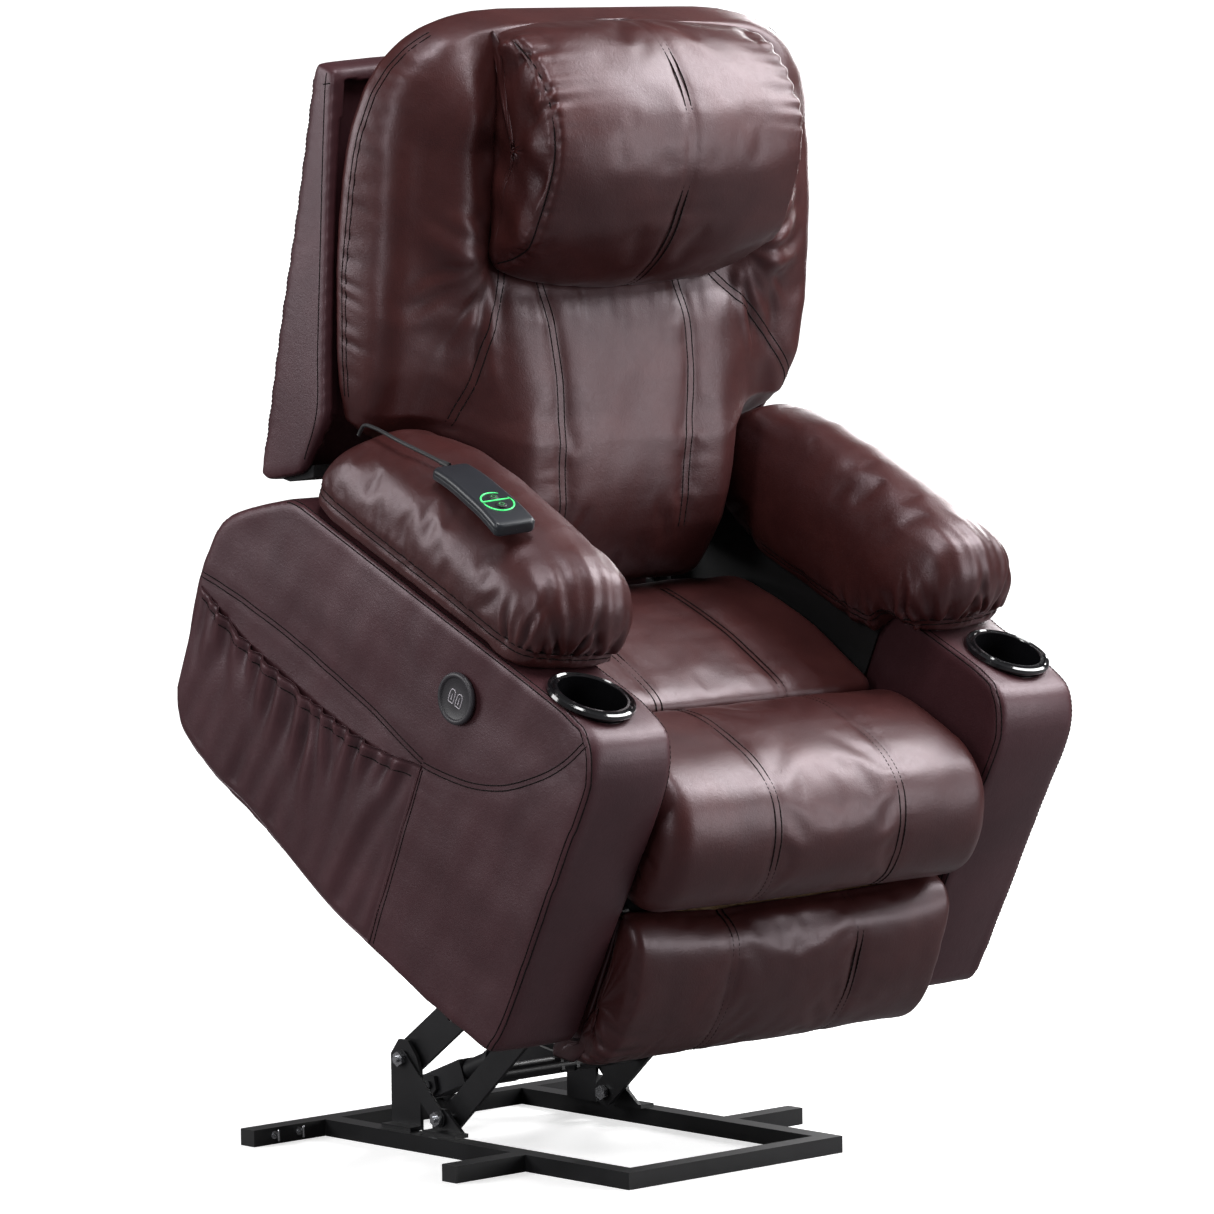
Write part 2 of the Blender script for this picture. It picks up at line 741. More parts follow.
GREEN_MARK = plain("green_mark", (0.03, 0.28, 0.07))


def dress(piece, material, body, slot, *replaced, smooth=True):
    obj = add_object(piece.name, to_row(piece.verts).tolist(), piece.faces, smooth)
    obj.data.materials.append(material)
    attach(obj, body)
    if replaced:
        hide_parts(*replaced)


# ------------------------------------------------------------------ seat and footrest pads
def sew_pad(piece, body, hidden, profile, cloth, seed, **shape):
    """Inflate a pad held at its hidden parts and two seams, then sew the seams.

    profile is the y-z course of both seams.
    """
    pinned = (np.abs(np.abs(piece.verts[:, 0]) - SEAM_X) < 4.5) | hidden
    piece = subdivide(puff(piece, pinned.astype(float), **cloth))
    for i, x in enumerate((-SEAM_X, SEAM_X)):
        path = sew_seam(piece, line_at(x, spline(profile, 60)), seed=seed + i, **shape)
        stitch(piece, path, body)
    return piece


FRONT_HALF = 264
# y, z
FRONT_SECTION = [
    (172, 268), (174, 322), (160, 344), (118, 356), (60, 357), (12, 351), (-20, 337), (-44, 311),
    (-57, 270), (-55, 228), (-37, 199), (-8, 187), (25, 193), (58, 219), (76, 268), (120, 268)]
FRONT_SEAM = [
    (168, 338), (150, 350), (118, 360), (60, 361), (12, 355), (-22, 340), (-48, 312), (-61, 270),
    (-58, 228), (-40, 196)]


def fill_front(section, x):
    """Fuller in the middle, tighter at the sides."""
    y, z = section.T
    full = 5.0 * (1 - (abs(x) / FRONT_HALF) ** 2.2)
    top = smoothstep(z, 300, 350)
    nose = smoothstep(-y, -20, 40)
    z += full * top
    y -= full * 1.1 * nose


def build_front_cushion():
    piece = sweep_x("seat_front_cushion_cover", FRONT_SECTION, FRONT_HALF, edge_radius=30,
                    spacing=8.5, count=124, shape=fill_front)
    _, y, z = piece.verts.T
    piece = sew_pad(piece, "seat", ((y > 60) & (z < 290)) | (y > 168), FRONT_SEAM,
                    cloth=dict(pressure=3.4, limit=5.0, shrink=0.003),
                    seed=11, depth=1.5, pucker=0.4, ripple=0.25)
    verts = piece.verts
    waves = 1.2 * wobble3(verts, seed=3, span=170) + 0.35 * wobble3(verts, seed=4, span=55)
    piece.push(waves * 0.6)
    # keep the back face out of the seat cushion
    piece.verts[:, 1] = np.minimum(piece.verts[:, 1], 176.5)
    dress(piece, HIDE, "seat", "burgundy_leather", "seat_front_cushion")


# y, z
REAR_SECTION = [
    (181, 268), (182, 322), (190, 340), (214, 347), (261, 353), (311, 357), (385, 356),
    (440, 350), (470, 335), (474, 300), (470, 268), (330, 267)]
REAR_SEAM = [(183, 325), (190, 341), (214, 350), (261, 357), (311, 360), (385, 358), (430, 352)]


def build_rear_cushion():
    piece = sweep_x("seat_cushion_cover", REAR_SECTION, half_width=263, edge_radius=22,
                    spacing=9.0, count=104)
    _, y, z = piece.verts.T
    piece = sew_pad(piece, "seat", (z < 300) | (y < 186), REAR_SEAM,
                    cloth=dict(pressure=3.2, limit=4.5, shrink=0.002),
                    seed=21, depth=1.3, pucker=0.5, ripple=0.6)
    verts = piece.verts
    piece.push(1.0 * wobble3(verts, seed=5, span=150) + 0.3 * wobble3(verts, seed=6, span=50))
    piece.verts[:, 1] = np.maximum(piece.verts[:, 1], 178.5)
    dress(piece, HIDE, "seat", "burgundy_leather", "seat_cushion")


FOOT_HALF = 262
# y, z
FOOT_SECTION = [
    (3.8, 164), (-8, 168), (-26, 163), (-42, 146), (-50, 110), (-54, 60), (-46, 16), (-27, -14),
    (8, -30), (43, -34), (43, -29), (18, -21), (4, -8), (3.8, 70)]
FOOT_SEAM = [
    (-2, 166), (-14, 166), (-28, 160), (-45, 144), (-54, 108), (-58, 60), (-50, 16), (-30, -14),
    (6, -31)]


def shape_foot(section, x):
    """Lifted upper corners, a dipped top edge and a fuller middle."""
    y, z = section.T
    u = abs(x) / FOOT_HALF
    z += smoothstep(z, 120, 168) * (13.0 * u ** 3.2 - 5.0)
    y -= 4.0 * (1 - u ** 2) * smoothstep(-y, 10, 50)


def build_foot_pad():
    piece = sweep_x("footrest_pad_cover", FOOT_SECTION, FOOT_HALF, edge_radius=13,
                    spacing=8.0, count=112, shape=shape_foot)
    piece = sew_pad(piece, "footrest", piece.verts[:, 1] > -2, FOOT_SEAM,
                    cloth=dict(pressure=3.0, limit=5.0, shrink=0.003),
                    seed=31, depth=1.5, pucker=0.5, ripple=0.3)
    verts = piece.verts
    waves = 1.0 * wobble3(verts, seed=8, span=140) + 0.25 * wobble3(verts, seed=9, span=45)
    # drawn folds at the lower corner on the sitter's right
    corner = [(-FOOT_HALF, -40, 60), (-FOOT_HALF, -20, -20), (-200, 0, -30)]
    distance, arc = along(verts, corner)
    piece.push(waves + 2.2 * np.exp(-distance / 45) * wobble(arc / 26, seed=5))
    # keep the back face off the footrest board
    y, z = piece.verts[:, 1], piece.verts[:, 2]
    piece.verts[:, 1] = np.where(z > -6, np.minimum(y, 3.6), y)
    dress(piece, HIDE, "footrest", "burgundy_leather", "footrest_pad")


# ------------------------------------------------------------------ backrest cushion
# front face: y on the centre line, and y on the wings, both against z
CENTRE_Z = [343, 350, 365, 395, 440, 480, 551, 576, 623, 675, 702, 722, 745, 800, 871, 940,
            985, 1010]
CENTRE_Y = [478, 456, 442, 434, 426, 433, 458, 474, 498, 532, 556, 570, 586, 608, 634, 656,
            670, 684]
WING_Z = [345, 440, 500, 520, 545, 556, 610, 670, 740, 808, 871, 940, 985, 1010]
WING_Y = [590, 584, 580, 572, 560, 552, 552, 562, 588, 616, 642, 660, 674, 690]
# half width against z
HALF_Z = [343, 352, 370, 430, 455, 488, 500, 512, 530, 566, 600, 700, 800, 860, 905, 940, 965,
          985, 1000, 1008]
HALF_X = [236, 250, 258, 258, 248, 246, 272, 318, 346, 357, 362, 366, 365, 361, 350, 334, 312,
          280, 225, 150]
BACK_COLUMNS = 92               # points across the front face

# seams on the front face: x, z
BACK_SEAMS = [
    [(-124, 722), (-121, 710), (-116, 687), (-113, 652), (-111, 610), (-111, 568), (-111, 523),
     (-106, 475), (-106, 436)],
    [(98, 722), (101, 709), (107, 689), (109, 664), (107, 629), (104, 590), (98, 548),
     (96, 499), (98, 440)],
    [(-180, 730), (-183, 717), (-192, 696), (-199, 684), (-208, 656), (-217, 630), (-227, 598),
     (-238, 570), (-244, 552)],
    [(158, 724), (164, 717), (184, 703), (219, 680), (258, 650), (290, 621), (320, 591),
     (340, 566), (352, 546)],
]

# folds drawn from the headrest's lower corners: side, corner x and z, angles in degrees
WING_FOLDS = [
    (-1, -194.0, 732.0, (-78, -57, -38, -20, -2, 20, 44)),
    (1, 192.0, 735.0, (-70, -52, -37, -24, -10, 6, 24, 46)),
]


def back_half(z):
    return np.interp(z, HALF_Z, HALF_X)


def side_seam_y(z):
    return np.interp(z, [345, 440, 500, 536, 580, 697, 832, 912, 960, 985, 1008],
                     [560, 566, 582, 584, 596, 642, 682, 697, 700, 702, 704])


def back_front_y(x, z):
    """y of the front face before it rolls back at the sides."""
    x = np.abs(x)
    centre = np.interp(z, CENTRE_Z, CENTRE_Y)
    wing = np.interp(z, WING_Z, WING_Y)
    inner = np.interp(z, [545, 620, 700, 760, 1000], [150, 150, 158, 196, 200])
    outer = np.interp(z, [545, 620, 700, 760, 1000], [300, 285, 262, 238, 236])
    y = centre + (wing - centre) * smoothstep(x, inner, outer)
    # the wing swells forward beside the headrest and low down at the side
    y = y - (38 * bell((x - 252) / 40) * smoothstep(z, 640, 770)
             * (1 - smoothstep(z, 900, 990)))
    return y - 8 * bell((x - 300) / 50) * (1 - smoothstep(z, 600, 700))


def back_ring(z):
    """Level ring: the front face rolled back to the side seam, the gusset, the rear."""
    half = float(back_half(z))
    seam_y = float(side_seam_y(z))
    x = np.linspace(-1, 1, BACK_COLUMNS) * half
    y = back_front_y(x, z)
    roll = float(np.interp(z, [344, 466, 500, 560, 980], [24, 24, 26, 44, 44]))
    t = np.clip((np.abs(x) - (half - roll)) / roll, 0, 1)
    y = y + (seam_y - y) * (1 - np.sqrt(np.clip(1 - t ** 2.4, 0, 1)))
    rear = seam_y + 8
    if z > 495:
        shell_y = np.interp(z, [345, 447, 529, 600, 795, 919, 1010],
                            [600, 608, 600, 628, 703, 742, 742])
        rear = max(seam_y + 6, min(seam_y + 26, float(shell_y) - 2))
    left = [(half - 0.5, (seam_y + rear) / 2), (half - 1.5, rear)]
    left += [(half * part, rear + 1) for part in (0.75, 0.5, 0.25)]
    loop = np.vstack([np.c_[x, y], left, [(0, rear + 1)], [(-a, b) for a, b in left[::-1]]])
    return np.c_[loop, np.full(len(loop), z)]


def wing_folds(verts, front):
    """Heights of the folds that fan out over the wings."""
    height = np.zeros(len(verts))
    for side, corner_x, corner_z, angles in WING_FOLDS:
        dx, dz = (verts[:, 0] - corner_x) * side, verts[:, 2] - corner_z
        radius = np.hypot(dx, dz)
        bearing = np.degrees(np.arctan2(dz, dx))
        random = np.random.RandomState(61 + side)
        for angle in angles:
            width = 7.5 + 5.0 * random.rand()
            bend = random.uniform(-9, 9) * (radius / 100.0) ** 2
            off = np.radians(bearing - angle - bend) * radius
            fade = smoothstep(radius, 6, 34)
            fade = fade * (1 - smoothstep(radius, random.uniform(70, 95),
                                          random.uniform(125, 165)))
            fade = fade * (np.abs(bearing - angle) < 70)
            ridge = bell(off / width) - 0.55 * bell((off - width * 1.7) / (width * 0.75))
            height += fade * random.uniform(2.4, 3.8) * ridge * front
    return height


def build_back_cushion():
    heights = [np.linspace(344, 466, 17), np.linspace(471, 560, 24), np.linspace(567, 1004, 60)]
    rings = [back_ring(z) for z in np.concatenate(heights)]
    piece = loft("back_cushion_cover", rings, cap=3)

    # held at the seams, the rear, both ends and the band under the headrest
    x, y, z = piece.verts.T
    pinned = (y > side_seam_y(z) - 2) | (z < 352) | (z > 1000)
    pinned |= (np.abs(x) < 200) & (z > 722)
    seams = []
    for points in BACK_SEAMS:
        line_x, line_z = spline(points, 40).T
        line = np.c_[line_x, back_front_y(line_x, line_z), line_z]
        pinned |= along(piece.verts, line)[0] < 5.5
        seams.append(line)
    piece = subdivide(puff(piece, pinned.astype(float), pressure=3.4, limit=6.5, shrink=0.003))

    seams = [sew_seam(piece, line, depth=1.3, pucker=0.4, seed=41 + i, ripple=0.4)
             for i, line in enumerate(seams)]
    side_seams = []
    for side in (-1, 1):
        line_z = np.linspace(560, 985, 90)
        line = np.c_[side * back_half(line_z), side_seam_y(line_z), line_z]
        # the longer step keeps this seam smooth
        path, _ = on_surface(piece, line, step=5)
        press_seam(piece, path, depth=1.4, width=6.0, pucker=0.5, seed=51 + side, span=30,
                   reach=20, band=0.3)
        before_seam = piece.verts[:, 1] < side_seam_y(piece.verts[:, 2]) + 2
        gather(piece, path, start=4, end=470, spacing=27.0, reach=21.0, width=4.6, depth=2.1,
               seed=151 + side, mask=before_seam.astype(float))
        side_seams.append(path)

    verts = piece.verts
    x, y, z = verts.T
    front = smoothstep(-(y - side_seam_y(z)), -4, 18)
    height = wing_folds(verts, front)
    # pleats hanging from the headrest's lower edge
    drop = 716 - z
    pleats = (smoothstep(drop, 0, 14) * np.exp(-np.maximum(drop, 0) / 34.0)
              * (np.abs(x) < 190))
    height += pleats * 0.9 * wobble(x / 34.0 + drop / 300.0, seed=83)
    height += 1.5 * wobble3(verts, seed=84, span=190) * front
    height += 0.3 * wobble3(verts, seed=85, span=60) * front
    piece.push(height)

    for path in seams:
        stitch(piece, path, "backrest")
    for path in side_seams:
        stitch(piece, path, "backrest", offsets=(-3.2, 3.2))
    dress(piece, HIDE, "backrest", "burgundy_leather", "back_cushion", "right_back_wing",
          "left_back_wing")


# ------------------------------------------------------------------ headrest pillow
# y, z
HEADREST_SECTION = [
    (508, 766), (497, 795), (493, 830), (497, 896), (522, 952), (566, 994), (624, 1018),
    (672, 1010), (688, 1000), (668, 990), (654, 940), (632, 876), (604, 800), (584, 744),
    (570, 716), (552, 712), (528, 732)]
HEADREST_SEAM = [
    (552, 709), (526, 730), (506, 764), (495, 790), (490, 830), (494, 898), (520, 960),
    (566, 1002), (626, 1026), (668, 1018)]
GUSSET_SEAM = [
    (564, 742), (524, 772), (516, 830), (520, 898), (545, 948), (590, 985), (645, 1000)]
# front limit of the held rear face: y against z
HEADREST_REAR_Z = [708, 720, 744, 800, 876, 940, 990, 1010]
HEADREST_REAR_Y = [556, 564, 576, 596, 624, 646, 662, 676]


def shape_headrest(section, x):
    """Draw the ends back, and in at the top and bottom."""
    y, z = section.T
    end = (abs(x) / 205.0) ** 2.8
    y += 17 * end * smoothstep(-y, -640, -520)
    z -= 14 * end * smoothstep(z, 930, 1010)
    z += 27 * end * smoothstep(-z, -800, -735)


def build_headrest():
    piece = sweep_x("headrest_pillow_cover", HEADREST_SECTION, half_width=206, edge_radius=15,
                    spacing=7.5, count=124, shape=shape_headrest)
    x, y, z = piece.verts.T
    reach = np.abs(x)
    held = (reach < 3.8) | (y > np.interp(z, HEADREST_REAR_Z, HEADREST_REAR_Y))
    pin = np.maximum(held.astype(float), ((reach > 199) & (reach < 204.6)) * 0.92)
    pin = np.maximum(pin, (reach > 204.6) * 0.75)
    piece = subdivide(puff(piece, pin, pressure=3.8, limit=10.0, shrink=0.004))

    path = sew_seam(piece, line_at(0, spline(HEADREST_SEAM, 60)), depth=1.4, pucker=0.4,
                    seed=91, ripple=0.5)
    stitch(piece, path, "backrest")
    for side in (-1, 1):
        line = spline(line_at(side * 202, GUSSET_SEAM), 60)
        path = sew_seam(piece, line, depth=1.8, width=6.0, pucker=1.1, seed=95 + side,
                        span=15, reach=11, band=0.0)
        inboard = (np.abs(piece.verts[:, 0]) < 203).astype(float)
        gather(piece, path, start=0, end=420, spacing=19.0, reach=13.0, width=3.2, depth=1.3,
               seed=161 + side, mask=inboard)
        stitch(piece, path, "backrest", offsets=(0.0,))

    verts = piece.verts
    x, y, z = verts.T
    height = np.zeros(len(verts))
    for side in (-1, 1):
        # crumpled gathers where the gusset meets the top, and a dented gusset
        corner = [(side * 204, 560, 962), (side * 204, 610, 990), (side * 202, 660, 1002)]
        distance, _ = along(verts, corner)
        height += (3.6 * np.exp(-distance / 24.0) * wobble(y / 38.0 + z / 55.0, 97 + side)
                   * smoothstep(distance, 0, 6))
        gusset = smoothstep(x * side, 200, 206)
        height += gusset * (2.4 * wobble3(verts, seed=101 + side, span=46)
                            - 3.0 * bell((z - 900) / 60))
    height += 1.4 * wobble3(verts, seed=98, span=150) + 0.35 * wobble3(verts, seed=99, span=50)
    piece.push(height)
    dress(piece, HIDE, "backrest", "burgundy_leather", "headrest_pillow")


# ------------------------------------------------------------------ arm pads
PAD_BASE = 433.0                # z where the pad sits on the arm
PAD_HEIGHT = 571.0 - PAD_BASE
PAD_MIDDLE = 322.0              # x about which the section narrows
# left pad's section: x, z
PAD_SECTION = [
    (268.5, 434), (300, 433.5), (350, 433.5), (388, 434), (400, 440), (402.5, 456), (402, 500),
    (395, 530), (378, 549), (346, 562), (306, 571), (264, 562), (243, 534), (234, 492),
    (235, 446), (240, 412), (250, 392), (262, 389), (268, 404)]
# seam round the lower edge: x, y, z
PAD_SEAM = [
    (399, 562, 462), (403, 500, 460), (404, 400, 458), (404, 300, 457), (403, 230, 456),
    (400, 180, 455), (392, 148, 454), (372, 133, 453), (330, 128, 452), (292, 129, 451),
    (262, 136, 447), (246, 152, 438), (238, 178, 424), (236, 215, 410), (237, 300, 404),
    (238, 420, 404)]
# gathers along the seam: start, end, spacing, reach, width, depth, seed, fan
PAD_GATHERS = [
    (20, 372, 24.0, 12.0, 3.4, 1.3, 231, 0.35),
    (372, 470, 15.0, 44.0, 4.2, 4.4, 232, 0.5),
    (440, 600, 13.0, 34.0, 3.8, 4.6, 233, 0.4),
    (600, 690, 20.0, 24.0, 4.2, 2.4, 234, 0.35),
]


def pad_rings():
    """Sections fanned over the nose, set along the arm, then fanned over the rear end."""
    section = spline(PAD_SECTION, 108, closed=True)

    def scaled(rise, drape, width):
        x, z = section[:, 0], section[:, 1] - 433
        return (PAD_MIDDLE + (x - PAD_MIDDLE) * width, np.where(z > 0, z * rise, z * drape))

    def fanned(angle, pivot_y, radius, drape, width):
        """The part above the base turns about the pivot; the part below hangs straight."""
        x, r = scaled(radius / PAD_HEIGHT, drape, width)
        cos, sin = math.cos(math.radians(angle)), math.sin(math.radians(angle))
        return np.c_[x, np.where(r >= 0, pivot_y + r * cos, pivot_y),
                     np.where(r >= 0, PAD_BASE + r * sin, PAD_BASE + r)]

    rings = []
    for a in np.linspace(180, 96, 19):
        rings.append(fanned(
            a, pivot_y=205.0,
            radius=np.interp(a, [96, 117, 134, 151, 166, 180], [128, 127, 116, 97, 80, 69]),
            drape=np.interp(a, [96, 150, 180], [1.0, 0.85, 0.5]),
            width=np.interp(a, [90, 120, 150, 180], [1.0, 0.99, 0.965, 0.93])))
    for y in np.linspace(212, 505, 42):
        top = np.interp(y, [120, 150, 189, 230, 272, 361, 430, 495, 545, 580],
                        [520, 545, 558, 564, 568, 574, 571, 556, 532, 505])
        drape = np.interp(y, [205, 240, 430, 505], [0.75, 1.0, 1.0, 0.4])
        x, rise = scaled((top - 433) / PAD_HEIGHT, drape, 1.0)
        rings.append(np.c_[x, np.full(len(x), y), 433 + rise])
    for a in np.linspace(84, 8, 14):
        rings.append(fanned(
            a, pivot_y=508.0,
            radius=np.interp(a, [8, 30, 60, 84], [60, 74, 98, 118]),
            drape=np.interp(a, [8, 84], [0.0, 0.38]),
            width=np.interp(a, [8, 40, 84], [0.9, 0.97, 1.0])))
    return rings


def build_arm_pads():
    piece = remesh(loft("left_arm_pad_cover", pad_rings(), cap=3), voxel=6.2, passes=4)
    line = spline(PAD_SEAM, 170)
    distance, _ = along(piece.verts, line)
    x, _, z = piece.verts.T
    pinned = (distance < 4.5) | ((z < 437) & (x > 268)) | ((x > 262) & (z < 420))
    piece = subdivide(puff(piece, pinned.astype(float), pressure=3.8, limit=8.0, shrink=0.006))

    path, _ = on_surface(piece, line)
    normals = piece.normals()
    x, y, z = piece.verts.T
    rim = np.interp(y, [130, 200, 560], [448, 455, 458])
    above = np.clip(smoothstep(z - rim, -6, 8) + (x < 262), 0, 1)
    for start, end, spacing, reach, width, depth, seed, fan in PAD_GATHERS:
        gather(piece, path, start, end, spacing, reach, width, depth, seed, mask=above, fan=fan)
    # waves over the nose and a slow swell; they follow the normals from before the gathers
    verts = piece.verts
    x, y, z = verts.T
    height = (1.2 * bell((y - 150) / 46) * smoothstep(z, 470, 520)
              * wobble(x / 40.0 + y / 210.0, seed=133))
    upper = smoothstep(z, 440, 470)
    height += (0.9 * wobble3(verts, seed=134, span=140) * upper
               + 0.2 * wobble3(verts, seed=135, span=42) * upper)
    piece.push(height, normals)
    press_seam(piece, path, depth=2.6, width=7.0, pucker=1.0, seed=137, span=14, reach=10)

    # keep clear of the arm's inner face and top
    x, z = piece.verts[:, 0], piece.verts[:, 2]
    inner = (x > 266) & (x < 275) & (z < 430)
    piece.verts[:, 0] = np.where(inner, np.minimum(x, 268.4), x)
    x = piece.verts[:, 0]
    piece.verts[:, 2] = np.where(x > 270.5, np.maximum(z, 432.2), z)

    right = mirror_piece(piece, "right_arm_pad_cover")
    for pad, course, node in ((piece, path, "left_arm_pad"),
                              (right, mirrored(path), "right_arm_pad")):
        dress(pad, HIDE, "seat", "burgundy_leather", node)
        stitch(pad, course, "seat", offsets=(-4.0, 4.0))


# ------------------------------------------------------------------ arms
# y, z, corner radius
ARM_OUTLINE = np.array([
    (4, 421, 26), (-14, 388, 26), (-20, 349, 26), (-10, 181, 30), (0, 10, 12), (13, -4, 12),
    (110, -4, 40), (338, 9, 60), (503, 41, 60), (574, 46, 60), (654, 65, 20), (683, 87, 14),
    (692, 109, 14), (708, 264, 30), (701, 342, 30), (651, 385, 30), (585, 431, 26),
    (50, 431, 20)])
# seam round the front and top edges: y, z
ARM_EDGE = [
    (600, 428), (300, 429), (60, 429), (14, 416), (-8, 385), (-14, 349), (-8, 260), (-3, 150),
    (4, 40), (14, 0)]
# seams on the right arm's outer face: y, z
ARM_SIDE_SEAMS = [
    # an arc from the top front
    [(10, 413), (28, 380), (52, 349), (80, 322), (109, 299), (140, 282), (170, 270), (210, 259),
     (248, 252)],
    # along the top of the pocket
    [(250, 255), (300, 261), (348, 266), (410, 270), (474, 273), (540, 275), (592, 274),
     (650, 271), (704, 266)],
    # down the front of the pocket
    [(249, 246), (247, 160), (246, 80), (244, 12)],
]


def shape_arm(name, seed):
    """The arm on the left side and its two edge lines."""
    outline = round_corners(ARM_OUTLINE[:, :2], ARM_OUTLINE[:, 2], steps=6)
    piece = remesh(prism(name, outline, 270.5, 399.4, bevel=8, segments=4), voxel=5.0, passes=2)
    verts = piece.verts
    x, y, _ = verts.T
    # the front crowns slightly and the outer face waves
    height = 3.0 * smoothstep(-y, -30, 10) * np.cos((x - 335) / 65 * math.pi / 2)
    height += smoothstep(x, 380, 398) * (1.3 * wobble3(verts, seed=seed, span=190)
                                         + 0.5 * wobble3(verts, seed=153, span=60))
    piece.push(height)
    edge = spline(ARM_EDGE, 120)
    outer, inner = line_at(396.5, edge), line_at(273.5, edge)
    sew_seam(piece, outer, depth=1.0, width=6.0, pucker=0.4, seed=155, band=0.9)
    return piece, [outer, inner]


def cup_cutter(x):
    """Upright cylinder that opens the arm's top for the cup holder."""
    angle = np.linspace(0, 2 * math.pi, 64, endpoint=False)
    circle = np.c_[x + 48.4 * np.cos(angle), 74 + 48.4 * np.sin(angle)]
    verts = np.vstack([np.c_[circle, np.full(64, z)] for z in (352, 470)])
    return Piece("cup_cutter", verts, tube_faces(2, 64, flip=True))


def build_arm(side, name, seed):
    arm, edges = shape_arm(name + "_arm_upholstery", seed)
    side_seams = []
    if side < 0:
        arm = mirror_piece(arm, arm.name)
        edges = [mirrored(line) for line in edges]
        side_seams = [line_at(-400.0, points) for points in ARM_SIDE_SEAMS]
    for i, line in enumerate(side_seams):
        sew_seam(arm, line, depth=1.1, width=7.0, pucker=0.5, seed=171 + i, span=30, reach=20,
                 band=0.6)
    dress(cut(arm, cup_cutter(343 * side)), PANEL, "seat", "burgundy_panel_leather",
          name + "_arm_cover")
    for line in edges:
        stitch(arm, line, "seat", offsets=(-3.4, 3.4))
    for line in side_seams:
        stitch(arm, line, "seat", offsets=(-3.2, 3.2))


POCKET_ROWS = 56
POCKET_COLUMNS = 90
# y, z
POCKET_LOW = [(248, 8), (338, 15), (503, 47), (574, 52), (650, 70), (676, 92), (688, 115)]
POCKET_TOP = [
    (249, 250), (276, 245), (304, 236), (348, 230), (392, 227), (440, 227), (478, 228),
    (530, 230), (574, 232), (612, 236), (650, 244), (696, 254)]


def pocket_folds(y, t):
    """Folds that hang from the hem; t runs 0..1 from the bottom to the hem."""
    folds = 0.35 * wobble(y / 70.0 + 0.5 * t, seed=161)
    random = np.random.RandomState(165)
    drop = (1 - t) * 190.0
    place = 262.0
    while place < 690:
        length = random.uniform(28, 120)
        width = random.uniform(6.0, 11.0)
        drift = random.uniform(-0.30, 0.30)
        x = y - place - drift * drop - 3.0 * np.sin(drop / 26.0 + 6 * random.rand())
        w = width * (1 + 0.7 * drop / length)
        fold = -bell(x / w) + 0.6 * bell((x - 1.9 * w) / w) + 0.35 * bell((x + 1.9 * w) / w)
        folds = folds + bell(drop / length) * random.uniform(0.5, 1.1) * fold
        place += random.uniform(17, 36)
    return folds


def build_pocket():
    """Gathered patch pocket on the right arm: a bulged sheet with a rolled hem."""
    rows, columns = POCKET_ROWS, POCKET_COLUMNS
    u = np.linspace(0, 1, columns)[None, :]
    t = np.linspace(0, 1, rows)[:, None]
    low, top = spline(POCKET_LOW, columns), spline(POCKET_TOP, columns)
    sheet = low * (1 - t[..., None]) + top * t[..., None]
    y, z = sheet[..., 0], sheet[..., 1]

    bulge = 6.0 * np.sin(np.pi * u) ** 0.6 * (0.25 + 0.75 * t ** 0.8)
    fold_height = 7.4 * np.sin(np.pi * u) ** 0.35
    out = 1.0 + bulge + fold_height * pocket_folds(y, t) * smoothstep(t, 0, 0.1)
    out += 1.6 * bell((t - 0.97) / 0.02)
    out = np.clip(out, 0.6, 11.5)
    # flatten the bottom and both ends
    out *= smoothstep(t, 0, 0.05) * 0.9 + 0.1
    out = out * smoothstep(u, 0, 0.03) * (1 - smoothstep(u, 0.985, 1.0) * 0.8) + 0.5

    outer = np.stack([-399.5 - out, y, z], -1)
    inner_x = -399.3 - np.clip(out - 1.6, 0.0, 99) * smoothstep(t, 0.86, 1.0)
    inner = np.stack([inner_x, y, z], -1)

    def at(i, j):
        return i * columns + j

    under = rows * columns
    faces = [(at(i, j), at(i + 1, j), at(i + 1, j + 1), at(i, j + 1))
             for i in range(rows - 1) for j in range(columns - 1)]
    faces += [tuple(k + under for k in reversed(face)) for face in faces]
    rim = []
    for j in range(columns - 1):
        rim += [(at(0, j + 1), at(0, j)), (at(rows - 1, j), at(rows - 1, j + 1))]
    for i in range(rows - 1):
        rim += [(at(i, 0), at(i + 1, 0)), (at(i + 1, columns - 1), at(i, columns - 1))]
    faces += [(a, b, b + under, a + under) for a, b in rim]
    verts = np.vstack([outer.reshape(-1, 3), inner.reshape(-1, 3)])
    piece = Piece("side_pocket_cover", verts, faces)
    dress(piece, PANEL, "seat", "burgundy_panel_leather", "side_pocket")
    stitch(piece, outer[rows - 5][2:-2], "seat", offsets=(0.0,))


# ------------------------------------------------------------------ back shell, rear panel
# y, z, corner radius
SHELL_OUTLINE = np.array([
    (669, 406, 6), (611, 447, 12), (597, 529, 14), (628, 600, 40), (703, 795, 40),
    (746, 919, 9), (784, 910, 9), (695, 478, 40), (684, 412, 8)])


def crown(x):
    """Rise of the shell's top edge."""
    return 16 * (1 - (x / SHELL_HALF) ** 2)


